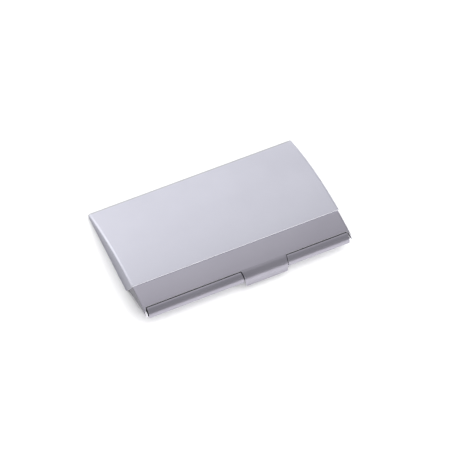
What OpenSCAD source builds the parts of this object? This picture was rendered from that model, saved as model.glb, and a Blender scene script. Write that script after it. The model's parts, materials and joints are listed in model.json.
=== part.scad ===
// Flat case for business cards. A shallow folded tray with a rolled front rim is closed by an arched lid
// that turns on a barrel hinge along the rear edge. A light outer cover is bonded over the lid and leaves
// its front strip and its thumb tab bare.

/* [Case] */
// Length of the case, side to side
case_length = 95; // [94:0.5:105]
// Height of the crown of the cover above the table
crown_height = 12.3; // [12.2:0.05:12.5]
// Radius of the arch of the cover, front to back
arch_radius = 115; // [114:0.5:118]
// Distance from the cover's rear edge forward to the crown
crown_forward = 47.6; // [47.4:0.1:47.8]

/* [Sheet metal] */
// Thickness of the outer cover
cover_sheet = 0.4; // [0.3:0.05:0.45]
// Thickness of the lid and of the tray
case_sheet = 0.5; // [0.45:0.01:0.5]
// Thickness of the adhesive film under the cover
film_thickness = 0.1; // [0.05:0.01:0.1]
// Outer radius of the bend between the cover and its skirts
cover_bend = 1.1; // [0.9:0.05:1.2]

/* [Front] */
// Distance from the cover's rear edge forward to its front edge
cover_forward = 47.4; // [46:0.2:48]
// Distance from the cover's rear edge forward to the lower corner of its skirts, before it is rounded
skirt_forward = 41.1; // [40:0.1:43]
// Radius of that rounded corner
skirt_round = 1.2; // [0.5:0.1:2]
// Distance forward to the lid's front edge
lid_forward = 58.2; // [57.8:0.1:58.3]
// Distance forward to the face of the tray's rim
rim_forward = 61.8; // [61.6:0.1:62]
// Height of the top of the rim
rim_height = 11.25; // [11.1:0.05:11.3]
// Outer radius of the rim's roll
rim_bend = 3; // [2.8:0.05:3.1]
// Distance forward to the start of the tray's rising underside
ramp_forward = 40.3; // [38:0.1:41]
// Height of the tray's underside where it meets the rim
ramp_height = 7; // [6.8:0.1:7.2]

/* [Thumb tab] */
// Distance from the middle of the case to the middle of the tab
tab_offset = 7.5; // [0:0.5:12]
// Width of the tab at the lid's front edge
tab_width = 20.9; // [16:0.1:24]
// Height of the tab's lower edge
tab_low = 5; // [4.8:0.1:6]

/* [Hinge] */
// Number of hinge knuckles, odd so that the tray has both ends
knuckle_count = 9; // [5:2:13]
// Outer radius of the hinge barrel
knuckle_radius = 0.8; // [0.8:0.01:0.82]
// Radius of the hinge rod
rod_radius = 0.3; // [0.28:0.01:0.32]
// Radial clearance of the rod in the lid's knuckles
rod_clearance = 0.04; // [0.02:0.01:0.08]

/* [Card spring] */
// Length of the leaf spring, end to end
spring_length = 58; // [50:1:64]
// Width of the leaf spring
spring_width = 11; // [9:1:14]
// Thickness of the leaf spring
spring_sheet = 0.3; // [0.25:0.05:0.4]
// Distance forward to the middle of the leaf spring
spring_forward = 24; // [20:1:27]

/* [Hidden] */
$fn = 96;
arch_fn = 720;
cut = 1;                                // How far cutting shapes pass beyond what they cut
slide_gap = 0.1;                        // Gap between the tray's walls and the lid's skirts
wall_gap = 0.5;                         // Gap between the tops of those walls and the lid, clear of its bends
least_bend = 0.2;                       // Least inner radius of a bend
section_depth = 16;                     // Depth of the arched sections, more than the skirts need
tab_reach = 0.5;                        // How far the tab stands in front of the rim's face
depth = rim_forward + tab_reach;        // Whole depth, cover's rear edge to the tab
rear_y = depth / 2;
arch_height = crown_height - arch_radius;   // Height of the axis of the arch, below the table

// Radii about the axis of the arch
cover_under = arch_radius - cover_sheet;
lid_top = cover_under - film_thickness;
lid_under = lid_top - case_sheet;
tray_top = lid_under - wall_gap;

// Half widths, from the outside inwards
cover_half = case_length / 2;
bond_gap = 0.05;                        // Gap between the cover's skirts and the lid's
rim_end_gap = 0.9;                      // How far the rim stops short of the tray's side faces
lid_half = cover_half - cover_sheet - bond_gap;
tray_half = lid_half - case_sheet - slide_gap;
rim_half = tray_half - rim_end_gap;
rim_room_half = rim_half + 0.4;         // Room in the lid for the rim
lid_bend = 0.8;
tray_bend = 0.8;

// Hinge axis
hinge_forward = 0.95;
hinge_height = knuckle_radius;
knuckle_clear = knuckle_radius + 0.2;   // Radius of the room around the other leaf's knuckles
knuckle_gap = 0.15;                     // Gap between neighbouring knuckles
barrel_end_gap = 0.05;
barrel_end_room = 0.3;                  // Room in the lid past both ends of the barrel
barrel_half = tray_half - case_sheet - barrel_end_gap;
knuckle_pitch = 2 * barrel_half / knuckle_count;

// Rear and lower ends of the cover and of the lid
cover_rear_height = 1.3;                // Height at which the cover's rear edge turns in to the hinge
lid_low = 0.3;                          // Height of the lower edge of the lid's skirts
lid_round = knuckle_radius - 0.1;       // Rounding of the lid's skirts about the hinge

// Adhesive film
film_margin = 3;                        // From the film to the cover's rear edge and sides
film_rear_end = 15;
film_front_start = 34;
film_front_margin = 0.6;                // From the film to the cover's front edge

// Tray
fold_extra = 0.1;                       // How much wider the floor's bends are than the ramp's
wall_rear = 3.2;                        // Distance forward to the rear end of the tray's side walls
strap_height = 1.2;                     // Height of the side walls between that end and the hinge
strap_rear = hinge_forward + 0.3;
wall_front = lid_forward - 0.6;         // Where the side walls step down beneath the rim
wall_step = rim_height - 1.8;           // Height of the side walls in front of that place

// Ramp of the tray's underside
rim_foot = 0.9;                         // Outer radius of the bend below the rim
ramp_angle = atan2(ramp_height, rim_forward - rim_foot - ramp_forward);
ear_rise = 2;                           // How far the lid's skirts stop above the ramp

// Tab
tab_bend = 3.1;
tab_face = rim_forward + tab_reach;
tab_corner = [tab_face - tab_bend, lid_front_height() - 0.06 - tab_bend];
tab_straight = 0.3;                     // Straight length below the tab's bend
tab_curl = 18;                          // Radius of the curl below that
tab_inset = 0.75;                       // How much the tab narrows on each side towards its face
tab_taper = 1.15;                       // How much it narrows on each side down to its lower edge
tab_spread = 0.1;
tab_gap = 0.4;                          // Gap around the tab in the notch of the rim
notch_back = 1.1;                       // Depth of that notch behind the rim's face
notch_drop = 2.3;                       // How far its back reaches below the top of the rim

// Card spring
spring_pad = 15;                        // Length of the flat middle of the spring
spring_curve = 88;                      // Radius of its bowed arms
arm_height = 8;                         // More than the height of the arms
rivet_radius = 0.8;
rivet_head = 1.5;
rivet_head_height = 0.5;
rivet_spread = 4.5;                     // Distance of the rivets from the middle of the case

cover_color = "#CBCBD7";
case_color = "#9A99A3";
steel_color = "#B8BCC2";
film_color = "#D8D4C0";

// Height of the lid's upper surface at its front edge
function lid_front_height() = arch_height + sqrt(pow(lid_top, 2) - pow(lid_forward - crown_forward, 2));

// Angle about the axis of the arch of a place at distance forward, on radius r
function arch_angle(forward, r) = asin((forward - crown_forward) / r);

// Point on the arch of radius r, at an angle about its axis
function arch_point(angle, r) = [crown_forward + r * sin(angle), arch_height + r * cos(angle)];

// Centre of the rounded nose of the lid's skirts, which runs smoothly into the lid's upper surface
function lid_nose() = arch_point(arch_angle(rim_forward - rim_bend, lid_top - rim_bend), lid_top - rim_bend);

// Point on the underside of the ramp, raised by lift
function ramp_point(forward, lift) =
    [forward, (forward - ramp_forward) * tan(ramp_angle) + lift / cos(ramp_angle)];

// Draws a side outline, given as distance forward and height, through a width centred on x
module across(width, x = 0)
    translate([x + width / 2, rear_y, 0])
        rotate([90, 0, -90])
            linear_extrude(width) children();

// Turns a section, given as radius and distance sideways, about the axis of the arch
module arch_sweep(from_angle, to_angle)
    translate([0, rear_y - crown_forward, arch_height])
        rotate([0, 90, 0])
            rotate([0, 0, 180 + from_angle])
                rotate_extrude(angle = to_angle - from_angle, $fn = arch_fn) children();

// Section of an arched sheet with skirts: r is its outer radius, and bend that of its two bends
module solid_section(r, half, bend) {
    low = r - section_depth;
    translate([low, -half]) square([r - bend - low, 2 * half]);
    translate([low, -half + bend]) square([r - low, 2 * (half - bend)]);
    for (side = [-1, 1])
        translate([r - bend, side * (half - bend)]) circle(bend);
}

module skirted_section(r, half, bend, sheet)
    difference() {
        solid_section(r, half, bend);
        solid_section(r - sheet, half - sheet, max(bend - sheet, least_bend));
    }

// Side outline of the cover: the slanted front ends of its skirts, their rounded lower corners and the
// rounding about the hinge
module cover_outline() {
    slant = atan2(crown_height - cover_sheet, cover_forward - skirt_forward);
    corner = [skirt_forward - skirt_round * tan(slant / 2), skirt_round];
    polygon([[0, crown_height + cut], [0, cover_rear_height], [hinge_forward - knuckle_radius, hinge_height],
             [hinge_forward, hinge_height], [hinge_forward, 0], [corner[0], 0],
             corner + skirt_round * [sin(slant), -cos(slant)],
             [cover_forward, crown_height - cover_sheet], [cover_forward, crown_height + cut]]);
    translate(corner) circle(skirt_round);
    translate([hinge_forward, hinge_height]) circle(knuckle_radius);
}

module main_cover()
    color(cover_color)
        intersection() {
            arch_sweep(-26, 2) skirted_section(arch_radius, cover_half, cover_bend, cover_sheet);
            across(case_length + 2 * cut) cover_outline();
        }

// One strip of the adhesive film, between two distances forward
module film_strip(from_forward, to_forward)
    color(film_color)
        arch_sweep(arch_angle(from_forward, lid_top), arch_angle(to_forward, lid_top))
            translate([lid_top, film_margin - cover_half])
                square([film_thickness, 2 * (cover_half - film_margin)]);

module bonding_film_rear() film_strip(film_margin, film_rear_end);
module bonding_film_front() film_strip(film_front_start, cover_forward - film_front_margin);

// Side outline of the lid and of its skirts, with the rounded nose beside the rim
module lid_outline() {
    nose = lid_nose();
    start = ramp_forward + (lid_low - ear_rise / cos(ramp_angle)) / tan(ramp_angle);
    difference() {
        union() {
            polygon([[hinge_forward, crown_height], [hinge_forward, lid_low], [rim_forward, lid_low],
                     [rim_forward, nose[1]], nose, arch_point(arch_angle(nose[0], lid_top - rim_bend),
                                                              lid_top + cut),
                     [lid_forward, crown_height]]);
            translate(nose) circle(rim_bend);
            translate([hinge_forward, hinge_height]) circle(lid_round);
        }
        polygon([[start - cut / tan(ramp_angle), lid_low - cut], ramp_point(rim_forward + cut, ear_rise),
                 [rim_forward + cut, lid_low - cut]]);
    }
}

// Side outline of the room for the tray's rim, in front of the lid's arched sheet
module rim_room_outline()
    translate([lid_forward, rim_height - notch_drop])
        square([rim_forward - lid_forward + cut, notch_drop + cut]);

// Side outline of the thumb tab, one sheet thick: forward over the rim, down its face and under it
module tab_outline() {
    corner = tab_corner;
    low_angle = asin((corner[1] - tab_straight - tab_low) / tab_curl);
    translate([lid_forward - cut, corner[1] + tab_bend - case_sheet])
        square([corner[0] - lid_forward + cut, case_sheet]);
    intersection() {
        translate(corner) difference() {
            circle(tab_bend);
            circle(tab_bend - case_sheet);
        }
        translate(corner) square(tab_bend + cut);
    }
    translate([tab_face - case_sheet, corner[1] - tab_straight]) square([case_sheet, tab_straight]);
    intersection() {
        translate([tab_face - tab_curl, corner[1] - tab_straight]) difference() {
            circle(tab_curl, $fn = 360);
            circle(tab_curl - case_sheet, $fn = 360);
        }
        translate([tab_face - tab_bend, tab_low]) square([tab_bend, corner[1] - tab_straight - tab_low]);
    }
}

// Outline of the tab or of the notch around it, seen from above and from the front
module tab_width_outline(from_half, to_half, from, to)
    polygon([[-from_half, from], [from_half, from], [to_half, to], [-to_half, to]]);

module tab_block(gap) {
    half = tab_width / 2;
    intersection() {
        translate([tab_offset, 0, 0])
            linear_extrude(crown_height + cut)
                tab_width_outline(half + gap, half - tab_inset + gap,
                                  rear_y - lid_forward + cut, rear_y - depth - cut);
        translate([tab_offset, 0, 0])
            rotate([90, 0, 0])
                translate([0, 0, -rear_y])
                    linear_extrude(2 * depth)
                        tab_width_outline(half - tab_taper + gap, half + tab_spread + gap,
                                          tab_low - cut, crown_height);
    }
}

module thumb_tab()
    intersection() {
        tab_block(0);
        across(case_length) tab_outline();
    }

// Round bar along the hinge axis, from one distance sideways to another
module hinge_bar(from, to, radius)
    translate([from, rear_y - hinge_forward, hinge_height])
        rotate([0, 90, 0]) cylinder(h = to - from, r = radius, $fn = 48);

// One knuckle of the hinge, by its place in the barrel, made longer by gap at both ends
module knuckle(index, radius, gap = 0) {
    start = -barrel_half + index * knuckle_pitch;
    hinge_bar(start + knuckle_gap / 2 - gap, start + knuckle_pitch - knuckle_gap / 2 + gap, radius);
}

// Lid: arched sheet with skirts, knuckles and thumb tab, bent from one blank
module lid_shell()
    color(case_color)
        difference() {
            union() {
                difference() {
                    intersection() {
                        arch_sweep(-25, 8) skirted_section(lid_top, lid_half, lid_bend, case_sheet);
                        across(case_length) lid_outline();
                    }
                    across(2 * rim_room_half) rim_room_outline();
                }
                for (i = [1 : 2 : knuckle_count - 2]) knuckle(i, knuckle_radius);
                thumb_tab();
            }
            for (i = [0 : 2 : knuckle_count - 1]) knuckle(i, knuckle_clear, knuckle_gap / 2);
            hinge_bar(barrel_half, barrel_half + barrel_end_room, knuckle_clear);
            hinge_bar(-barrel_half - barrel_end_room, -barrel_half, knuckle_clear);
            hinge_bar(-barrel_half, barrel_half, rod_radius + rod_clearance);
        }

// Folded corner of the tray: a width with its two lower edges rounded
module trough_section(half, bend) {
    translate([-half, bend]) square([2 * half, crown_height + bend]);
    translate([-half + bend, 0]) square([2 * (half - bend), crown_height]);
    for (side = [-1, 1])
        translate([side * (half - bend), bend]) circle(bend);
}

// The room above the flat floor and above the ramp, raised by lift. The floor's bends are a little wider
// than the ramp's, so that the two pairs cross cleanly at the fold.
module trough(half, bend, lift)
    intersection() {
        translate([0, depth, lift])
            rotate([90, 0, 0]) linear_extrude(2 * depth) trough_section(half, bend + fold_extra);
        translate([0, rear_y - ramp_forward, 0])
            rotate([-ramp_angle, 0, 0])
                translate([0, depth, lift])
                    rotate([90, 0, 0]) linear_extrude(2 * depth) trough_section(half, bend);
    }

// Side outline of the rim: a strip one sheet thick, up from the ramp and rolled back towards the lid
module rim_outline() {
    foot = [rim_forward - rim_foot, ramp_height + rim_foot / cos(ramp_angle)];
    nose = [rim_forward - rim_bend, rim_height - rim_bend];
    intersection() {
        translate(foot) difference() {
            circle(rim_foot);
            circle(rim_foot - case_sheet);
        }
        translate(foot) rotate(-90 + ramp_angle) square([rim_foot + cut, rim_foot + cut]);
        translate([foot[0], 0]) square([rim_foot + cut, foot[1]]);
    }
    inner = rim_forward - case_sheet;
    polygon([[inner, foot[1]], [rim_forward, foot[1]], [rim_forward, nose[1]], [inner, nose[1]]]);
    intersection() {
        translate(nose) difference() {
            circle(rim_bend);
            circle(rim_bend - case_sheet);
        }
        translate(nose) square(rim_bend + cut);
    }
}

// Tray: floor, ramp, side walls and rim, folded from one blank, with knuckles along the rear
module base_tray()
    color(case_color)
        difference() {
            union() {
                intersection() {
                    difference() {
                        trough(tray_half, tray_bend, 0);
                        trough(tray_half - case_sheet, tray_bend - case_sheet, case_sheet);
                    }
                    across(case_length) tray_outline();
                    arch_sweep(-26, 8) translate([tray_top - 20, -cover_half]) square([20, case_length]);
                }
                across(2 * rim_half) rim_outline();
                for (i = [0 : 2 : knuckle_count - 1]) knuckle(i, knuckle_radius);
            }
            for (i = [1 : 2 : knuckle_count - 2]) knuckle(i, knuckle_clear, knuckle_gap / 2);
            hinge_bar(-cover_half, cover_half, rod_radius);
            tab_notch();
            for (side = [-1, 1]) rivet_cylinder(side, rivet_radius, -cut, case_sheet + 2 * cut);
        }

// Side outline of the tray without its rim
module tray_outline() {
    ramp_end = rim_forward - rim_foot + rim_foot * sin(ramp_angle);
    polygon([[strap_rear, -cut], [ramp_end, -cut], [ramp_end, wall_step], [wall_front, wall_step],
             [wall_front, crown_height], [wall_rear, crown_height], [wall_rear, strap_height],
             [strap_rear, strap_height]]);
}

// Notch through the rim that the tab passes through
module tab_notch()
    intersection() {
        tab_block(tab_gap);
        across(case_length)
            polygon([[rim_forward - notch_back, 0], [rim_forward + cut, 0], [rim_forward + cut, crown_height],
                     [lid_forward, crown_height], [lid_forward, rim_height - notch_drop],
                     [rim_forward - notch_back, rim_height - notch_drop]]);
    }

module hinge_rod()
    color(steel_color) hinge_bar(-barrel_half, barrel_half, rod_radius);

// Upright cylinder at one of the two rivets of the spring
module rivet_cylinder(side, radius, from, height)
    translate([side * rivet_spread, rear_y - spring_forward, from])
        cylinder(h = height, r = radius, $fn = 48);

// Side outline of one bowed arm of the leaf spring
module arm_outline(side) {
    arm = spring_length / 2 - spring_pad / 2;
    middle = side * (spring_pad + arm) / 2;
    intersection() {
        translate([side * spring_pad / 2, case_sheet + spring_curve]) difference() {
            circle(spring_curve, $fn = arch_fn);
            circle(spring_curve - spring_sheet, $fn = arch_fn);
        }
        translate([middle - arm / 2, 0]) square([arm, arm_height]);
    }
}

// Leaf spring: a flat pad riveted to the floor and two arms that bow upwards
module card_spring()
    color(steel_color)
        difference() {
            translate([0, rear_y - spring_forward + spring_width / 2, 0])
                rotate([90, 0, 0]) linear_extrude(spring_width) {
                    translate([-spring_pad / 2, case_sheet]) square([spring_pad, spring_sheet]);
                    for (side = [-1, 1]) arm_outline(side);
                }
            for (side = [-1, 1]) rivet_cylinder(side, rivet_radius, 0, case_sheet + spring_sheet + cut);
        }

// Rivet with a low head above the spring and a flush foot in the floor
module spring_rivet(side)
    color(steel_color) {
        rivet_cylinder(side, rivet_radius, 0, case_sheet + spring_sheet + rivet_head_height);
        rivet_cylinder(side, rivet_head, case_sheet + spring_sheet, rivet_head_height);
    }

module spring_rivet_left() spring_rivet(-1);
module spring_rivet_right() spring_rivet(1);

main_cover();
bonding_film_rear();
bonding_film_front();
lid_shell();
base_tray();
hinge_rod();
card_spring();
spring_rivet_left();
spring_rivet_right();
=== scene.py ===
"""Looks of a flat business card case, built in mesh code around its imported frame.

Shapes are written in millimetres in the case's own side view: x sideways, s forward from the cover's rear
edge, z up from the table, with angles in degrees. place() turns points into metres in the frame's axes.
"""
import math

import bmesh
import bpy
from mathutils import Matrix, Vector
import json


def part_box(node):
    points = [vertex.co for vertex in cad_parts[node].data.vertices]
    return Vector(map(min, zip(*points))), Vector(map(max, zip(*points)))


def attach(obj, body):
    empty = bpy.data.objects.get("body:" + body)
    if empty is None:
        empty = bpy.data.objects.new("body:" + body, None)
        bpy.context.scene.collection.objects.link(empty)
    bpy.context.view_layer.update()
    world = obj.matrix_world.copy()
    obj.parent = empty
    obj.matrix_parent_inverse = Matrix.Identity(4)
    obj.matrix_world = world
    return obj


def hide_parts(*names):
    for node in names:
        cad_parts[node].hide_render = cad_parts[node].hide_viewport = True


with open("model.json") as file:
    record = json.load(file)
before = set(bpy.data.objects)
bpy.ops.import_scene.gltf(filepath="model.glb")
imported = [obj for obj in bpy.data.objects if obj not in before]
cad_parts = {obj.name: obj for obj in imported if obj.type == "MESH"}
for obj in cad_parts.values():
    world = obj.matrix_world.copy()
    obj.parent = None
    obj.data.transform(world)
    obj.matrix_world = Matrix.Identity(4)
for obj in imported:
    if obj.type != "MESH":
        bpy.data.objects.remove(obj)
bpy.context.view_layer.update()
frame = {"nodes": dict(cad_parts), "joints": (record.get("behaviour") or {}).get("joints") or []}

MM = 0.001

# ---------------------------------------------------------------- sizes, from the frame
cover_low, cover_high = (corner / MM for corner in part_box("main_cover"))
lid_low, lid_high = (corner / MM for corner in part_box("lid_shell"))
tray_low, tray_high = (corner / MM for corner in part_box("base_tray"))
spring_low, spring_high = (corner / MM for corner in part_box("card_spring"))
_, rod_high = (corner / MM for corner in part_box("hinge_rod"))

REAR = cover_high.y
COVER_HALF = cover_high.x
COVER_FRONT = REAR - cover_low.y
CROWN = cover_high.z
LID_HALF = lid_high.x
TRAY_HALF = tray_high.x
RIM_FACE = REAR - tray_low.y
RIM_TOP = tray_high.z
TAB_FACE = REAR - lid_low.y
HINGE = (REAR - frame["joints"][0]["pos_m"][1] / MM, frame["joints"][0]["pos_m"][2] / MM)

# ---------------------------------------------------------------- sizes, chosen
ARCH_RADIUS = 115.0         # of the cover's outer side
ARCH_S = 47.6               # where the arch is highest
ARCH_Z = CROWN - ARCH_RADIUS
COVER_SHEET = 0.4           # thicknesses of the sheets
COVER_SHOWN = COVER_SHEET + 0.08    # the cover with the film under it, nearly down to the lid
CASE_SHEET = 0.5
SPRING_SHEET = 0.3
LID_RADIUS = ARCH_RADIUS - COVER_SHEET - 0.1
TRAY_RADIUS = LID_RADIUS - CASE_SHEET - 0.5     # top of the tray's walls
EDGE = 0.07                 # rounding of the sheets' cut edges
SPRING_EDGE = 0.05

COVER_BEND = 1.1
REAR_TURN_Z = 1.3           # height at which the cover's rear edge starts to turn in to the hinge
SKIRT_FRONT = 41.1          # lower front corner of the cover's skirts, before it is rounded
SKIRT_ROUND = 1.2
SKIRT_TOP_Z = 11.9          # height at which their slanted end meets the cover's front edge

KNUCKLES = 9
KNUCKLE_RADIUS = 0.8
KNUCKLE_GAP = 0.15
BARREL_HALF = rod_high.x
ROD_RADIUS = 0.29
ROD_CHAMFER = 0.08
LEAF_REAR = 2.0             # where a leaf ends beside the other leaf's knuckles

LID_BEND = 0.8
LID_FRONT = 58.2
EAR_HALF = 45.95            # how near the middle the lid reaches beside the rim
EAR_RISE = 2.0              # how far above the ramp the lid's skirt ends
EAR_LOW = 0.3               # how far above the table it ends behind the ramp

RIM_BEND = 3.05
FOOT_BEND = 0.9             # bend between the ramp and the rim's face
RAMP_START = 40.3
RAMP_RISE = 7.0
RAMP = math.atan2(RAMP_RISE, RIM_FACE - FOOT_BEND - RAMP_START)
RAMP_BEND = 1.5
FOOT = (RIM_FACE - FOOT_BEND, RAMP_RISE + FOOT_BEND / math.cos(RAMP))

TRAY_BEND = 0.85
WALL_REAR = 3.2
WALL_FRONT = LID_FRONT - 0.6
WALL_STEP = RIM_TOP - 1.8   # top of the walls' lower end, under the rim
NOTCH_BACK = RIM_FACE - 1.1         # where the notch under the tab begins
RIVET_X = 4.5
HOLE_RADIUS = 0.82
HOLE_ROOM = 1.2             # half the square of the floor around a rivet's hole

TAB_X = 7.5
TAB_ROOT_HALF = 10.45       # half the tab's width just behind its root
TAB_ROOT_TAPER = 0.75       # how much of it is lost on the way forward
TAB_LIP_HALF = 9.30         # half the tab's width just below its lip
TAB_LIP_TAPER = 1.25        # how much it gains on the way up
TAB_GAP = 0.4               # the rim's notch beside the tab
TAB_GAP_RIGHT = 0.15
TAB_LOW = 4.85              # height of its lip
TAB_BEND = 3.8
TAB_CORNER = (TAB_FACE - 0.2 - TAB_BEND, RIM_TOP - TAB_BEND)
TAB_SIDE = 0.45             # rounding of the tab's side edges
TAB_SIDE_START = 1.2        # length over which that rounding begins
TUCK_RADIUS = 20.0          # the slight inward curve of the tab's face
TUCK_ANGLE = 4.0
LIP_RADIUS = 0.9            # the lip below it, which turns out
LIP_ANGLE = 35
ROLL_RADIUS = 0.45          # the lip's edge, which turns back under
ROLL_ANGLE = -40

SPRING_HALF_WIDTH = 5.5
SPRING_CORNER = 3.0
SPRING_PAD = 7.5            # half the length of its flat middle
SPRING_BOW = 88.0           # radius to which its ends curve up

# ---------------------------------------------------------------- looks, chosen
COVER_TONES = ((0.67, 0.67, 0.745), (0.71, 0.71, 0.785))
COVER_SIDE_SHADE = (0.48, 0.48, 0.5)     # painted shade: its tone is multiplied by this on the skirts
COVER_REAR_SHADE = (0.8, 0.81, 0.76)      # painted shade: its tone is multiplied by this along its rear edge
COVER_REAR_SHADE_WIDTH = 0.9
COVER_CUT_TONES = ((0.86, 0.86, 0.92), (0.93, 0.93, 0.97))
SPECK_COLOUR = (0.25, 0.25, 0.28)
CASE_TONES = ((0.425, 0.41, 0.47), (0.455, 0.44, 0.5))
# painted shade: the case's tone is multiplied by this on faces that look sideways
CASE_SIDE_SHADE = (0.32, 0.32, 0.33)
CASE_CUT_TONES = ((0.74, 0.73, 0.78), (0.86, 0.85, 0.9))
STEEL_TONES = ((0.52, 0.53, 0.55), (0.62, 0.63, 0.65))
FILM_TONES = ((0.62, 0.59, 0.48), (0.72, 0.69, 0.58))
FLOOR_TONES = ((0.86, 0.86, 0.86), (0.88, 0.88, 0.88))

CAMERA_AZIMUTH = -24.19
CAMERA_ELEVATION = 56.05
CAMERA_DISTANCE = 1287.1            # from the middle of the cover's rear edge
CAMERA_RIGHT = 14.7
CAMERA_UP = -19.55
CAMERA_LENS = 240.5
FLOOR_HALF = 1.5                    # in metres
FLOOR_DROP = 0.02                   # the floor lies this far below the case
ROOM_BRIGHT = (-0.1, 0.98, 0.15)    # the direction in which the room is brightest
ROOM_DARK = 0.46
ROOM_LIGHT = 0.75
ROOM_COLOUR = (0.985, 0.985, 1, 1)


def place(x, s, z):
    """A point of the side view as metres in the frame's axes."""
    return (x * MM, (REAR - s) * MM, z * MM)


def spread(start, end, count):
    """count + 1 numbers from start to end, evenly spaced."""
    return [start + (end - start) * i / count for i in range(count + 1)]


def mix(a, b, t):
    """The point at the share t of the way from a to b."""
    return tuple(p + (q - p) * t for p, q in zip(a, b))


def arc(centre, radius, start, end, count):
    """Points (s, z) on a circle, from one angle to another in degrees, counted up from straight forward."""
    return [
        (centre[0] + radius * math.cos(math.radians(a)), centre[1] + radius * math.sin(math.radians(a)))
        for a in spread(start, end, count)
    ]


def beyond(point, length, angle):
    """The point (s, z) at that length from another, at an angle in degrees, counted up from forward."""
    turn = math.radians(angle)
    return (point[0] + length * math.cos(turn), point[1] + length * math.sin(turn))


def arch_z(radius, s):
    """Height of the arch of that radius at distance s forward."""
    return ARCH_Z + math.sqrt(radius**2 - (s - ARCH_S) ** 2)


def follow(path, count):
    """count + 1 points evenly spaced along a path of points."""
    lengths = [0.0]
    for a, b in zip(path, path[1:]):
        lengths.append(lengths[-1] + math.dist(a, b))
    found, i = [], 0
    for target in spread(0, lengths[-1], count):
        while i < len(path) - 2 and lengths[i + 1] < target:
            i += 1
        share = (target - lengths[i]) / (lengths[i + 1] - lengths[i])
        found.append(mix(path[i], path[i + 1], min(share, 1.0)))
    return found


def fill(top, bottom, rear, front):
    """Rows of points from top to bottom that fill the patch between four edges (a Coons patch)."""
    rows = []
    for i, (left, right) in enumerate(zip(rear, front)):
        v = i / (len(rear) - 1)
        row = []
        for j, (up, down) in enumerate(zip(top, bottom)):
            u = j / (len(top) - 1)
            across = mix(left, right, u)
            along = mix(up, down, v)
            corners = mix(mix(top[0], top[-1], u), mix(bottom[0], bottom[-1], u), v)
            row.append(tuple(a + b - c for a, b, c in zip(across, along, corners)))
        rows.append(row)
    return rows


class Surface:
    """The outer surface of a sheet, collected patch by patch and welded where patches meet."""

    def __init__(self):
        self.points, self.faces = [], []

    def patch(self, rows, keep=lambda i, j: True):
        """Adds a grid of rows of (x, s, z) points, without the cells that keep refuses."""
        first, width = len(self.points), len(rows[0])
        for row in rows:
            self.points += [place(*point) for point in row]
        for i in range(len(rows) - 1):
            for j in range(width - 1):
                if keep(i, j):
                    a = first + i * width + j
                    self.faces.append((a, a + 1, a + width + 1, a + width))

    def polygon(self, points):
        """Adds one face with the given (x, s, z) corners."""
        first = len(self.points)
        self.points += [place(*point) for point in points]
        self.faces.append(tuple(range(first, first + len(points))))

    def build(self, name, up):
        """The welded mesh as an object. up says whether its outer side looks up or down on the whole."""
        mesh = bpy.data.meshes.new(name)
        mesh.from_pydata(self.points, [], self.faces)
        work = bmesh.new()
        work.from_mesh(mesh)
        bmesh.ops.remove_doubles(work, verts=work.verts, dist=0.004 * MM)
        bmesh.ops.delete(work, geom=[v for v in work.verts if not v.link_faces], context="VERTS")
        bmesh.ops.recalc_face_normals(work, faces=work.faces)
        if (sum(f.normal.z * f.calc_area() for f in work.faces) > 0) != up:
            bmesh.ops.reverse_faces(work, faces=work.faces)
        for face in work.faces:
            face.smooth = True
        work.to_mesh(mesh)
        work.free()
        piece = bpy.data.objects.new(name, mesh)
        bpy.context.scene.collection.objects.link(piece)
        return piece


def thicken(piece, thickness, edge=EDGE):
    """Gives a surface its thickness on the inner side, rounds the cut edges and keeps flat parts flat."""
    solid = piece.modifiers.new("Sheet", "SOLIDIFY")
    solid.thickness = thickness * MM
    solid.offset = -1
    solid.use_even_offset = True
    solid.material_offset_rim = 1
    bevel = piece.modifiers.new("Edges", "BEVEL")
    bevel.width = edge * MM
    bevel.segments = 2
    bevel.limit_method = "ANGLE"
    bevel.angle_limit = math.radians(50)
    bevel.use_clamp_overlap = False
    piece.modifiers.new("Normals", "WEIGHTED_NORMAL").keep_sharp = False


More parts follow.
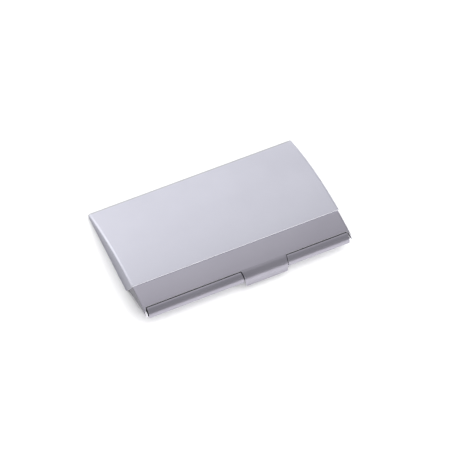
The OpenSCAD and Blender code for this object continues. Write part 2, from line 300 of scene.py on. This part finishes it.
# ---------------------------------------------------------------- materials
class Material:
    """A Principled material with its nodes, wired by short calls."""

    def __init__(self, name, **values):
        self.material = bpy.data.materials.new(name)
        self.material.use_nodes = True
        self.tree = self.material.node_tree
        self.shader = self.tree.nodes["Principled BSDF"]
        for socket, value in values.items():
            self.shader.inputs[socket.replace("_", " ")].default_value = value
        self.point = self.node("ShaderNodeTexCoord").outputs["Object"]

    def node(self, kind, settings=None, **inputs):
        """A node with its settings and inputs. An input is named, or numbered after an underscore."""
        made = self.tree.nodes.new(kind)
        for key, value in (settings or {}).items():
            setattr(made, key, value)
        for socket, value in inputs.items():
            which = int(socket[1:]) if socket[1:].isdigit() else socket.replace("_", " ")
            target = made.inputs[which]
            if isinstance(value, bpy.types.NodeSocket):
                self.tree.links.new(value, target)
            else:
                target.default_value = value
        return made

    def noise(self, scale, detail, stretch=(1, 1, 1)):
        """Noise from 0 to 1 over the piece, in cells of 1/scale metres, stretched by the given factors."""
        squeezed = self.node(
            "ShaderNodeVectorMath", {"operation": "MULTIPLY"}, _0=self.point, _1=[1 / f for f in stretch]
        ).outputs[0]
        return self.node("ShaderNodeTexNoise", Vector=squeezed, Scale=scale, Detail=detail).outputs["Fac"]

    def span(self, value, low, high, start, end):
        """value's stretch from low to high, turned into numbers from start to end."""
        return self.node(
            "ShaderNodeMapRange", Value=value, From_Min=low, From_Max=high, To_Min=start, To_Max=end
        ).outputs[0]

    def sum(self, *values):
        """The values added together."""
        total = values[0]
        for value in values[1:]:
            total = self.node("ShaderNodeMath", {"operation": "ADD"}, _0=total, _1=value).outputs[0]
        return total

    def blend(self, amount, a, b):
        """The tone at that amount of the way from a to b, each a colour or another node's tone."""
        a, b = (tone if isinstance(tone, bpy.types.NodeSocket) else (*tone, 1) for tone in (a, b))
        return self.node("ShaderNodeMix", {"data_type": "RGBA"}, _0=amount, _6=a, _7=b).outputs[2]

    def shade(self, tone, amount, colour):
        """The tone, multiplied by a colour to the given amount."""
        settings = {"data_type": "RGBA", "blend_type": "MULTIPLY"}
        return self.node("ShaderNodeMix", settings, _0=amount, _6=tone, _7=(*colour, 1)).outputs[2]

    def side_shade_mask(self):
        """Mask for painted shade: 1 where the surface faces sideways and 0 where it faces up, down, forward
        or back.
        """
        faces = self.tree.nodes["Texture Coordinate"].outputs["Normal"]
        across = self.node("ShaderNodeSeparateXYZ", Vector=faces).outputs["X"]
        steep = self.node("ShaderNodeMath", {"operation": "ABSOLUTE"}, _0=across).outputs[0]
        return self.span(steep, 0.75, 0.97, 0.0, 1.0)

    def rear_shade_mask(self, width):
        """Mask for painted shade: 1 along the rear edge of the cover, over the width in millimetres, and 0 in
        front of it.
        """
        back = self.node("ShaderNodeSeparateXYZ", Vector=self.point).outputs["Y"]
        return self.span(back, (REAR - width) * MM, (REAR - width / 2) * MM, 0.0, 1.0)

    def specks(self, scale, size):
        """1 inside small round specks, one to each cell of 1/scale metres, and 0 around them."""
        cells = self.node("ShaderNodeTexVoronoi", Vector=self.point, Scale=scale).outputs["Distance"]
        return self.span(cells, size, size * 1.6, 1.0, 0.0)

    def bump(self, height, depth, strength, under=None):
        """A normal bumped by the height, on top of the normal under it."""
        made = self.node("ShaderNodeBump", Height=height, Distance=depth, Strength=strength)
        if under is not None:
            self.tree.links.new(under, made.inputs["Normal"])
        return made.outputs["Normal"]

    def connect(self, **outputs):
        """Links the outputs to the shader's inputs of those names, and gives the finished material."""
        for socket, value in outputs.items():
            self.tree.links.new(value, self.shader.inputs[socket.replace("_", " ")])
        return self.material


def cover_finish():
    """Pale anodised aluminium with a fine blasted grain and a few faint specks, with painted shade on its
    skirts and along its rear edge.
    """
    m = Material("cover_anodised", Metallic=1.0)
    broad = m.noise(45, detail=3)
    grain = m.noise(9000, detail=2)
    specks = m.specks(95, 0.011)
    tone = m.blend(m.span(broad, 0.3, 0.7, 0.0, 1.0), *COVER_TONES)
    tone = m.blend(m.span(specks, 0.0, 1.0, 0.0, 0.35), tone, SPECK_COLOUR)
    # painted shade: the skirts' tone is multiplied darker
    tone = m.shade(tone, m.side_shade_mask(), COVER_SIDE_SHADE)
    # painted shade: a darker band along the rear edge
    tone = m.shade(tone, m.rear_shade_mask(COVER_REAR_SHADE_WIDTH), COVER_REAR_SHADE)
    rough = m.sum(m.span(broad, 0.3, 0.7, 0.44, 0.48), m.span(grain, 0.2, 0.8, -0.03, 0.03))
    normal = m.bump(grain, 0.004 * MM, 0.5)
    normal = m.bump(m.noise(28, detail=1), 0.05 * MM, 0.5, under=normal)
    return m.connect(Base_Color=tone, Roughness=rough, Normal=normal)


def case_finish():
    """Darker satin aluminium, finely brushed from side to side, with painted shade on the faces that look
    sideways.
    """
    m = Material("case_satin", Metallic=1.0)
    broad = m.noise(60, detail=3)
    brushed = m.noise(7000, detail=3, stretch=(60, 1, 1))
    tone = m.blend(m.span(broad, 0.3, 0.7, 0.0, 1.0), *CASE_TONES)
    # painted shade: faces that look sideways are darkened
    tone = m.shade(tone, m.side_shade_mask(), CASE_SIDE_SHADE)
    rough = m.sum(m.span(broad, 0.3, 0.7, 0.34, 0.38), m.span(brushed, 0.2, 0.8, -0.03, 0.03))
    normal = m.bump(brushed, 0.003 * MM, 0.5)
    normal = m.bump(m.noise(35, detail=1), 0.03 * MM, 0.4, under=normal)
    return m.connect(Base_Color=tone, Roughness=rough, Normal=normal)


def cut_finish(name, tones, roughness, metallic):
    """A sheared edge: bright bare metal with fine drag lines across its thickness."""
    m = Material(name, Metallic=metallic)
    drag = m.noise(12000, detail=2, stretch=(1, 1, 6))
    tone = m.blend(m.span(drag, 0.3, 0.7, 0.0, 1.0), *tones)
    rough = m.span(drag, 0.2, 0.8, roughness - 0.05, roughness + 0.05)
    return m.connect(Base_Color=tone, Roughness=rough, Normal=m.bump(drag, 0.004 * MM, 0.6))


def steel_finish():
    """Bright spring steel, rolled lengthways."""
    m = Material("spring_steel", Metallic=1.0)
    rolled = m.noise(9000, detail=3, stretch=(40, 1, 1))
    tone = m.blend(m.span(rolled, 0.3, 0.7, 0.0, 1.0), *STEEL_TONES)
    rough = m.span(rolled, 0.2, 0.8, 0.2, 0.3)
    return m.connect(Base_Color=tone, Roughness=rough, Normal=m.bump(rolled, 0.003 * MM, 0.5))


def film_finish():
    """Thin adhesive film with small air bubbles."""
    m = Material("adhesive_film", IOR=1.47)
    bubbles = m.specks(900, 0.12)
    cloud = m.noise(500, detail=3)
    tone = m.blend(m.span(cloud, 0.3, 0.7, 0.0, 1.0), *FILM_TONES)
    rough = m.span(cloud, 0.3, 0.7, 0.45, 0.6)
    return m.connect(Base_Color=tone, Roughness=rough, Normal=m.bump(bubbles, 0.01 * MM, 0.5))


cover_metal = cover_finish()
cover_cut = cut_finish("cover_cut_edge", COVER_CUT_TONES, roughness=0.6, metallic=0.0)
case_metal = case_finish()
case_cut = cut_finish("case_cut_edge", CASE_CUT_TONES, roughness=0.4, metallic=0.5)
steel = steel_finish()
film = film_finish()


def finish(piece, materials, body, slot, *nodes):
    """Gives a piece its materials, hangs it on the body it rides on and hides the frame's nodes it stands
    for. slot, which would say what it is made of, is not used.
    """
    for material in materials:
        piece.data.materials.append(material)
    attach(piece, body)
    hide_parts(*nodes)


# ---------------------------------------------------------------- arched sheets with skirts
def bend_rows(half, radius, bend, side):
    """(x, radius) of the rows round the bend between an arched sheet and its skirt, from the top down."""
    return [
        (side * (half - bend + bend * math.sin(a)), radius - bend + bend * math.cos(a))
        for a in spread(0, math.pi / 2, 6)
    ]


def cover_front(radius):
    """Where the row on that radius ends at the cover's slanted front outline."""
    slope = (COVER_FRONT - SKIRT_FRONT) / SKIRT_TOP_Z
    return COVER_FRONT - max(0.0, SKIRT_TOP_Z - (ARCH_Z + radius)) * slope


def cover_rear(radius):
    """Where the row on that radius starts, on the cover's rear edge or its rounding about the hinge.

    The height there depends on the place itself, so that it is found by repeating.
    """
    s = 0.0
    for _ in range(30):
        z = arch_z(radius, s)
        turn = HINGE[0] - math.sqrt(max(0.0, KNUCKLE_RADIUS**2 - (z - HINGE[1]) ** 2))
        share = max(0.0, REAR_TURN_Z - z) / (REAR_TURN_Z - HINGE[1])
        s = turn if z < HINGE[1] else (HINGE[0] - KNUCKLE_RADIUS) * share
    return s


def build_cover():
    """The arched outer cover with its two skirts."""
    surface = Surface()
    shares = spread(0, 0.02, 5) + spread(0.02, 1, 44)[1:]
    turn_split, corner_split = 5, 3     # points of the two roundings that are the skirt's own corners

    def row(x, radius):
        """A row of points from the rear edge to the front edge, closer together at the rear."""
        rear, front = cover_rear(radius), cover_front(radius)
        return [(x, s, arch_z(radius, s)) for s in (rear + (front - rear) * t for t in shares)]

    surface.patch([row(x, ARCH_RADIUS) for x in spread(COVER_BEND - COVER_HALF, COVER_HALF - COVER_BEND, 14)])
    for side in (-1, 1):
        rows = [row(x, r) for x, r in bend_rows(COVER_HALF, ARCH_RADIUS, COVER_BEND, side)]
        surface.patch(rows)
        top = [(s, z) for x, s, z in rows[-1]]
        start = 180 + math.degrees(math.atan2(HINGE[1] - top[0][1], HINGE[0] - top[0][0]))
        turn = arc(HINGE, KNUCKLE_RADIUS, start, 270, 10)
        slant = math.degrees(math.atan2(SKIRT_TOP_Z, COVER_FRONT - SKIRT_FRONT))
        round_s = SKIRT_FRONT - SKIRT_ROUND * math.tan(math.radians(slant / 2))
        corner = arc((round_s, SKIRT_ROUND), SKIRT_ROUND, -90, slant - 90, 8)
        line = [(s, 0.0) for s in spread(HINGE[0], round_s, 41)[1:]]
        bottom = turn[turn_split:] + line + corner[1:corner_split + 1]
        front = follow([top[-1], *reversed(corner[corner_split:])], turn_split)
        skirt = fill(top, bottom, turn[:turn_split + 1], front)
        surface.patch([[(side * COVER_HALF, s, z) for s, z in points] for points in skirt])
    cover = surface.build("outer_cover", up=True)
    thicken(cover, COVER_SHOWN)
    finish(cover, (cover_metal, cover_cut), "lid", "cover_aluminium", "main_cover")


def knuckle_span(index):
    """Sides of one knuckle of the hinge."""
    pitch = 2 * BARREL_HALF / KNUCKLES
    start = -BARREL_HALF + index * pitch
    return start + KNUCKLE_GAP / 2, start + pitch - KNUCKLE_GAP / 2


def tab_half(s, z, gap=0.0):
    """Half the width of the thumb tab at a place of its side outline."""
    above = TAB_ROOT_HALF - TAB_ROOT_TAPER * (s - LID_FRONT + 1) / (TAB_FACE - LID_FRONT + 2)
    ahead = TAB_LIP_HALF + TAB_LIP_TAPER * (z - TAB_LOW + 1) / (CROWN - TAB_LOW + 1)
    return min(above, ahead) + gap


def tab_path():
    """Side outline of the tab: over the rim, down its face, a little inwards, out at the lip and under."""
    start = (LID_FRONT, arch_z(LID_RADIUS, LID_FRONT))
    tilt = math.degrees(math.asin((LID_FRONT - ARCH_S) / LID_RADIUS))
    corner = arc(TAB_CORNER, TAB_BEND, 90 - tilt, 0, 14)
    tuck = arc((corner[-1][0] - TUCK_RADIUS, corner[-1][1] - 0.1), TUCK_RADIUS, 0, -TUCK_ANGLE, 5)
    centre = beyond(tuck[-1], LIP_RADIUS, -TUCK_ANGLE)
    lip = arc(centre, LIP_RADIUS, 180 - TUCK_ANGLE, 180 + LIP_ANGLE, 7)
    centre = beyond(lip[-1], -ROLL_RADIUS, LIP_ANGLE)
    roll = arc(centre, ROLL_RADIUS, LIP_ANGLE, ROLL_ANGLE, 6)
    return follow([start, corner[0]], 5) + corner[1:] + tuck + lip[1:] + roll[1:]


def sheet_columns(start, end, step):
    """Places from start to end, evenly spaced and about a step apart."""
    return spread(start, end, max(1, round((end - start) / step)))


def build_lid():
    """The inner lid, with its knuckles, its tab and its two sides."""
    surface = Surface()
    edge = tab_half(LID_FRONT, RIM_TOP)
    tab_sides = (TAB_X - edge, TAB_X + edge)
    own = [knuckle_span(i) for i in range(1, KNUCKLES - 1, 2)]
    flat_half = LID_HALF - LID_BEND
    knuckle_sides = [x for span in own for x in span]
    xs = sorted({-flat_half, flat_half, -EAR_HALF, EAR_HALF, *tab_sides, *knuckle_sides})
    columns = sheet_columns(LEAF_REAR, LID_FRONT, 1.3)
    surface.patch([[(x, s, arch_z(LID_RADIUS, s)) for s in columns] for x in xs])

    for start, end in own:
        surface.patch([[(x, *point) for point in lid_curl()] for x in (start, end)])

    lid_tab(surface, [(x - TAB_X) / edge for x in xs if tab_sides[0] < x < tab_sides[1]])

    for side in (-1, 1):
        lid_side(surface, side, columns)
    lid = surface.build("inner_lid", up=True)
    thicken(lid, CASE_SHEET)
    finish(lid, (case_metal, case_cut), "lid", "case_aluminium", "lid_shell")


def lid_tab(surface, shares):
    """The thumb tab. shares are the places across it, from -1 to 1, where the lid's front edge has points."""
    path = tab_path()
    ahead = path[1:] + [path[-1]]
    behind = [path[0]] + path[:-1]
    drops = (0, 15, 30, 45, 60, 75)
    columns = [(-1, a) for a in reversed(drops)] + [(t, 0) for t in shares] + [(1, a) for a in drops]
    rows = []
    for side, drop in columns:
        row = []
        for (s, z), (s1, z1), (s0, z0) in zip(path, ahead, behind):
            bend = TAB_SIDE * min(1.0, math.dist((s, z), path[0]) / TAB_SIDE_START)
            inward = bend * (1 - math.cos(math.radians(drop)))
            length = math.dist((s1, z1), (s0, z0))
            half = tab_half(s, z)
            if abs(side) == 1:
                half += bend * (math.sin(math.radians(drop)) - 1)
            forward, up = (s1 - s0) / length, (z1 - z0) / length
            row.append((TAB_X + side * half, s + inward * up, z - inward * forward))
        rows.append(row)
    surface.patch(rows)


def lid_curl():
    """Side outline of a lid knuckle: from the sheet's rear end back and down round the rod."""
    first = (LEAF_REAR, arch_z(LID_RADIUS, LEAF_REAR))
    return [first, *arc(HINGE, KNUCKLE_RADIUS, 100, 395, 24)]


def lid_side(surface, side, columns):
    """The bend and the skirt of one side, with the rounded nose in front of the sheet."""
    nose_radius = LID_RADIUS - RIM_BEND
    nose = (RIM_FACE - RIM_BEND, arch_z(nose_radius, RIM_FACE - RIM_BEND))
    nose_turn = math.asin((nose[0] - ARCH_S) / nose_radius)

    def nose_end(radius):
        """Where the row on that radius ends, on the rounding of the nose."""
        if radius >= LID_RADIUS - 1e-6:
            turn = nose_turn
        else:
            cosine = (radius**2 + nose_radius**2 - RIM_BEND**2) / (2 * radius * nose_radius)
            turn = nose_turn + math.acos(min(1.0, cosine))
        return ARCH_S + radius * math.sin(turn)

    rows = []
    for x, radius in bend_rows(LID_HALF, LID_RADIUS, LID_BEND, side):
        ahead = spread(LID_FRONT, nose_end(radius), 5)[1:]
        rows.append([(x, s, arch_z(radius, s)) for s in columns + ahead])
    surface.patch(rows)
    beside_rim = rows[0][len(columns) - 1:]
    surface.patch([[(side * EAR_HALF, s, z) for x, s, z in beside_rim], beside_rim])

    top = [(s, z) for x, s, z in rows[-1]]
    toe = (RIM_FACE - RAMP_START) * math.tan(RAMP) + EAR_RISE / math.cos(RAMP)
    turn = math.degrees(math.atan2(top[-1][1] - nose[1], top[-1][0] - nose[0]))
    front = arc(nose, RIM_BEND, turn, math.degrees(math.asin((toe - nose[1]) / RIM_BEND)), 8)
    rise = RAMP_START + (EAR_LOW - EAR_RISE / math.cos(RAMP)) / math.tan(RAMP)
    before = sum(s <= rise for s in columns)
    bottom = [(s, EAR_LOW) for s in spread(LEAF_REAR, rise, before - 1)]
    bottom += [mix((rise, EAR_LOW), front[-1], t) for t in spread(0, 1, len(top) - before)[1:]]
    skirt = fill(top, bottom, follow([top[0], bottom[0]], 8), front)
    surface.patch([[(side * LID_HALF, s, z) for s, z in points] for points in skirt])


# ---------------------------------------------------------------- tray
def tray_path():
    """Side outline of the tray's underside, from the hinge forward to the foot of the rim."""
    centre = (RAMP_START - RAMP_BEND * math.tan(RAMP / 2), RAMP_BEND)
    middle = rivet_places()[0][1]
    floor = [(s, 0.0) for s in sheet_columns(WALL_REAR, middle - HOLE_ROOM, 4.0)]
    floor += [(s, 0.0) for s in sheet_columns(middle + HOLE_ROOM, centre[0], 4.0)]
    ramp_end = (FOOT[0] + FOOT_BEND * math.sin(RAMP), FOOT[1] - FOOT_BEND * math.cos(RAMP))
    bend = arc(centre, RAMP_BEND, 270, 270 + math.degrees(RAMP), 4)
    places = spread(bend[-1][0], WALL_FRONT, 5) + [NOTCH_BACK, ramp_end[0]]
    ramp = [(s, (s - RAMP_START) * math.tan(RAMP)) for s in places]
    return [(LEAF_REAR, 0.0), *floor[:-1], *bend[:-1], *ramp]


def rim_path():
    """Side outline of the rim: the foot's bend, the face and the roll back over the cards."""
    nose = (RIM_FACE - RIM_BEND, RIM_TOP - RIM_BEND)
    foot = arc(FOOT, FOOT_BEND, -90 + math.degrees(RAMP), 0, 7)
    return [*foot, *arc(nose, RIM_BEND, 0, 90, 16)]


def rivet_places():
    """(x, s) of the two rivets, on the middle line of the spring."""
    middle_s = REAR - (spring_low.y + spring_high.y) / 2
    return [(side * RIVET_X, middle_s) for side in (-1, 1)]


def build_tray():
    """The tray, with its knuckles, rivet holes, rim and two side walls."""
    surface = Surface()
    flat_half = TRAY_HALF - TRAY_BEND
    own = [knuckle_span(i) for i in range(0, KNUCKLES, 2)]
    own[0], own[-1] = (-flat_half, own[0][1]), (own[-1][0], flat_half)
    path = tray_path()
    ramp_end = path[-1]
    sides = (TAB_X - tab_half(*ramp_end, TAB_GAP), TAB_X + tab_half(*ramp_end, TAB_GAP_RIGHT))
    windows = [(x - HOLE_ROOM, x + HOLE_ROOM) for x, s in rivet_places()]
    xs = sorted({-flat_half, flat_half, *sides, *(x for span in own + windows for x in span)})
    before_notch = len(path) - 2
    hole_row = [s for s, z in path].index(rivet_places()[0][1] - HOLE_ROOM)

    def keep(i, j):
        """Whether a cell is outside the notch under the tab and the squares around the rivets' holes."""
        middle = (xs[i] + xs[i + 1]) / 2
        in_notch = j == before_notch and sides[0] < middle < sides[1]
        return not in_notch and not (j == hole_row and any(a < middle < b for a, b in windows))

    surface.patch([[(x, *point) for point in path] for x in xs], keep)
    for place_of_hole in rivet_places():
        hole_cell(surface, place_of_hole, xs)

    for start, end in own:
        curl = [(LEAF_REAR, 0.0), *arc(HINGE, KNUCKLE_RADIUS, 270, -35, 24)]
        surface.patch([[(x, *point) for point in curl] for x in xs if start <= x <= end])

    rim = rim_path()
    rows = [[(x, *point) for point in rim] for x in xs if x < sides[0]]
    rows.append([(TAB_X - tab_half(s, z, TAB_GAP), s, z) for s, z in rim])
    surface.patch(rows)
    rows = [[(TAB_X + tab_half(s, z, TAB_GAP_RIGHT), s, z) for s, z in rim]]
    rows += [[(x, *point) for point in rim] for x in xs if x > sides[1]]
    surface.patch(rows)

    for side in (-1, 1):
        tray_side(surface, side, path[: before_notch + 1])
    tray = surface.build("tray", up=False)
    thicken(tray, CASE_SHEET)
    finish(tray, (case_metal, case_cut), "tray", "case_aluminium", "base_tray")


def hole_cell(surface, middle, xs):
    """The square of the floor around one rivet, with the rivet's hole in it."""
    x, s = middle
    corners = [(x + a * HOLE_ROOM, s + b * HOLE_ROOM) for a, b in ((1, 1), (-1, 1), (-1, -1), (1, -1))]
    for quarter, start in enumerate(corners):
        end = corners[(quarter + 1) % 4]
        ring = arc(middle, HOLE_RADIUS, 45 + 90 * quarter, 135 + 90 * quarter, 8)
        inside = [other for other in xs if abs(other - x) < HOLE_ROOM - 0.01]
        between = [(other, end[1]) for other in inside if start[1] == end[1]]
        between.sort(key=lambda point: math.dist(point, end))
        surface.polygon([(*point, 0.0) for point in (start, *ring, end, *between)])


def tray_side(surface, side, path):
    """The bend and the wall of one side of the tray."""
    flat_half = TRAY_HALF - TRAY_BEND
    slopes = [0.0] + [math.atan2(b[1] - a[1], b[0] - a[0]) for a, b in zip(path, path[1:])]
    rows = []
    for a in spread(0, math.pi / 2, 6):
        rise = TRAY_BEND * (1 - math.cos(a))
        rows.append([
            (side * (flat_half + TRAY_BEND * math.sin(a)), s, z + rise / math.cos(slope))
            for (s, z), slope in zip(path, slopes)
        ])
    surface.patch(rows)

    low = [(s, z) for x, s, z in rows[-1] if s >= WALL_REAR - 1e-6]
    tall = [point for point in low if point[0] <= WALL_FRONT + 1e-6]
    short = [point for point in low if point[0] >= WALL_FRONT - 1e-6]
    step = (WALL_STEP - tall[-1][1]) / (arch_z(TRAY_RADIUS, WALL_FRONT) - tall[-1][1])
    arched = [(s, arch_z(TRAY_RADIUS, s)) for s, z in tall]
    wall = [[mix(foot, top, t) for foot, top in zip(tall, arched)] for t in (0, step, 1)]
    surface.patch([[(side * TRAY_HALF, s, z) for s, z in row] for row in wall])
    wall = [[mix(point, (point[0], WALL_STEP), t) for point in short] for t in (0, 1)]
    surface.patch([[(side * TRAY_HALF, s, z) for s, z in row] for row in wall])


# ---------------------------------------------------------------- small pieces
def turned(name, outline):
    """A solid of revolution about the upright axis through the origin, from (radius, height) points."""
    segments = 40
    points, faces = [], []
    for radius, height in outline:
        for k in range(segments):
            a = 2 * math.pi * k / segments
            points.append((radius * math.cos(a) * MM, radius * math.sin(a) * MM, height * MM))
    for i in range(len(outline) - 1):
        for k in range(segments):
            a, b = i * segments + k, i * segments + (k + 1) % segments
            faces.append((a, b, b + segments, a + segments))
    faces.append(tuple(reversed(range(segments))))
    faces.append(tuple(range(len(points) - segments, len(points))))
    mesh = bpy.data.meshes.new(name)
    mesh.from_pydata(points, [], faces)
    for face in mesh.polygons:
        face.use_smooth = True
    piece = bpy.data.objects.new(name, mesh)
    bpy.context.scene.collection.objects.link(piece)
    piece.modifiers.new("Normals", "WEIGHTED_NORMAL").keep_sharp = False
    return piece


def build_rod():
    """The hinge's rod, with chamfered ends."""
    rod = turned("hinge_pin", [
        (ROD_RADIUS - ROD_CHAMFER, -BARREL_HALF),
        (ROD_RADIUS, -BARREL_HALF + ROD_CHAMFER),
        (ROD_RADIUS, BARREL_HALF - ROD_CHAMFER),
        (ROD_RADIUS - ROD_CHAMFER, BARREL_HALF),
    ])
    rod.data.transform(Matrix.Rotation(math.pi / 2, 4, "Y"))
    rod.data.transform(Matrix.Translation(place(0, *HINGE)))
    finish(rod, (steel,), "tray", "steel", "hinge_rod")


def build_spring():
    """The leaf spring under the cards: a strip with rounded ends that bows up beside its flat middle."""
    surface = Surface()
    straight = spring_high.x - SPRING_CORNER
    middle = REAR - (spring_low.y + spring_high.y) / 2
    steps = spread(0, straight, 26)[1:-1]
    steps += [straight + SPRING_CORNER * math.sin(a) for a in spread(0, math.pi / 2, 7)]
    columns = []
    for x in [-x for x in reversed(steps)] + [0.0] + steps:
        past_corner = max(0.0, abs(x) - straight)
        past_pad = max(0.0, abs(x) - SPRING_PAD)
        width = SPRING_HALF_WIDTH - SPRING_CORNER + math.sqrt(max(0.0, SPRING_CORNER**2 - past_corner**2))
        z = spring_low.z + SPRING_BOW - math.sqrt(SPRING_BOW**2 - past_pad**2)
        columns.append([(x, middle + width * t, z) for t in (-1, -0.5, 0, 0.5, 1)])
    surface.patch(columns)
    spring = surface.build("leaf_spring", up=False)
    thicken(spring, SPRING_SHEET, edge=SPRING_EDGE)
    finish(spring, (steel, steel), "tray", "steel", "card_spring")


def build_rivets():
    """The two rivets, with domed heads on the spring."""
    foot_radius, shank_radius, head_radius = 0.72, 0.79, 1.5
    seat = spring_low.z + SPRING_SHEET
    for (x, s), side in zip(rivet_places(), ("left", "right")):
        dome = [(head_radius * math.cos(a), seat + 0.12 + 0.36 * math.sin(a)) for a in spread(0, 1.45, 8)]
        rivet = turned("rivet_" + side, [
            (foot_radius, 0.0),
            (shank_radius, 0.06),
            (shank_radius, seat),
            (head_radius - 0.08, seat),
            (head_radius, seat + 0.06),
            *dome,
        ])
        rivet.data.transform(Matrix.Translation(place(x, s, 0.0)))
        finish(rivet, (steel,), "tray", "steel", "spring_rivet_" + side)


build_cover()
build_lid()
build_tray()
build_rod()
build_spring()
build_rivets()

# the films under the cover stay as the frame has them, with a material of their own
for name in ("bonding_film_rear", "bonding_film_front"):
    node = frame["nodes"][name]
    node.data.materials.clear()
    node.data.materials.append(film)


# ---------------------------------------------------------------- camera, floor and light
def aim(azimuth, elevation):
    """Unit vectors to the right, up and back for a camera that looks from there at the object."""
    a, e = math.radians(azimuth), math.radians(elevation)
    back = Vector((math.sin(a) * math.cos(e), -math.cos(a) * math.cos(e), math.sin(e)))
    right = Vector((math.cos(a), math.sin(a), 0))
    return right, back.cross(right), back


def add_camera():
    """A long lens from the front left, high above the case."""
    right, up, back = aim(CAMERA_AZIMUTH, CAMERA_ELEVATION)
    camera = bpy.data.objects.new("camera", bpy.data.cameras.new("camera"))
    camera.data.lens = CAMERA_LENS
    camera.data.sensor_width = 36
    camera.data.clip_start = 0.05
    camera.data.clip_end = 20
    offset = CAMERA_DISTANCE * back + CAMERA_RIGHT * right + CAMERA_UP * up
    camera.location = (Vector((0, REAR, 0)) + offset) * MM
    camera.rotation_euler = Matrix((right, up, back)).transposed().to_euler()
    bpy.context.scene.collection.objects.link(camera)
    bpy.context.scene.camera = camera


def add_floor():
    """A plain white table top under the case."""
    corners = [(a * FLOOR_HALF, b * FLOOR_HALF, 0) for a, b in ((-1, -1), (1, -1), (1, 1), (-1, 1))]
    mesh = bpy.data.meshes.new("floor")
    mesh.from_pydata(corners, [], [(0, 1, 2, 3)])
    floor = bpy.data.objects.new("floor", mesh)
    floor.location.z = -FLOOR_DROP * MM
    bpy.context.scene.collection.objects.link(floor)
    paper = Material("floor_white", Roughness=0.6)
    tone = paper.blend(paper.noise(6, detail=2), *FLOOR_TONES)
    mesh.materials.append(paper.connect(Base_Color=tone))


def add_light(name, azimuth, elevation, distance, size, watts):
    """A soft rectangular lamp at that direction from the case, facing it."""
    right, up, back = aim(azimuth, elevation)
    lamp = bpy.data.objects.new(name, bpy.data.lights.new(name, "AREA"))
    lamp.data.shape = "RECTANGLE"
    lamp.data.size, lamp.data.size_y = size
    lamp.data.energy = watts
    lamp.location = back * distance
    lamp.rotation_euler = Matrix((right, up, back)).transposed().to_euler()
    bpy.context.scene.collection.objects.link(lamp)
    return lamp


def add_world():
    """The room that the metal mirrors: white behind the case, dimmer overhead, dark on the camera's side."""
    world = bpy.data.worlds.new("studio")
    world.use_nodes = True
    tree = world.node_tree
    direction = tree.nodes.new("ShaderNodeTexCoord")
    towards = tree.nodes.new("ShaderNodeVectorMath")
    towards.operation = "DOT_PRODUCT"
    towards.inputs[1].default_value = ROOM_BRIGHT
    ramp = tree.nodes.new("ShaderNodeMapRange")
    ramp.interpolation_type = "SMOOTHSTEP"
    ramp.inputs["From Min"].default_value = -0.05
    ramp.inputs["From Max"].default_value = 1.0
    ramp.inputs["To Min"].default_value = ROOM_DARK
    ramp.inputs["To Max"].default_value = ROOM_LIGHT
    tree.links.new(direction.outputs["Generated"], towards.inputs[0])
    tree.links.new(towards.outputs["Value"], ramp.inputs["Value"])
    tree.links.new(ramp.outputs[0], tree.nodes["Background"].inputs["Strength"])
    tree.nodes["Background"].inputs["Color"].default_value = ROOM_COLOUR
    bpy.context.scene.world = world


add_camera()
add_floor()
add_world()
key = add_light("softbox_floor", azimuth=14, elevation=56, distance=1.2, size=(1.15, 1.15), watts=20)
key.visible_glossy = False
add_light("softbox_rear", azimuth=-166, elevation=42, distance=0.4, size=(0.45, 0.6), watts=0.33)
add_light("softbox_edge", azimuth=-148, elevation=28, distance=1.0, size=(0.5, 0.4), watts=0.9)
bpy.context.scene.view_settings.view_transform = "Standard"
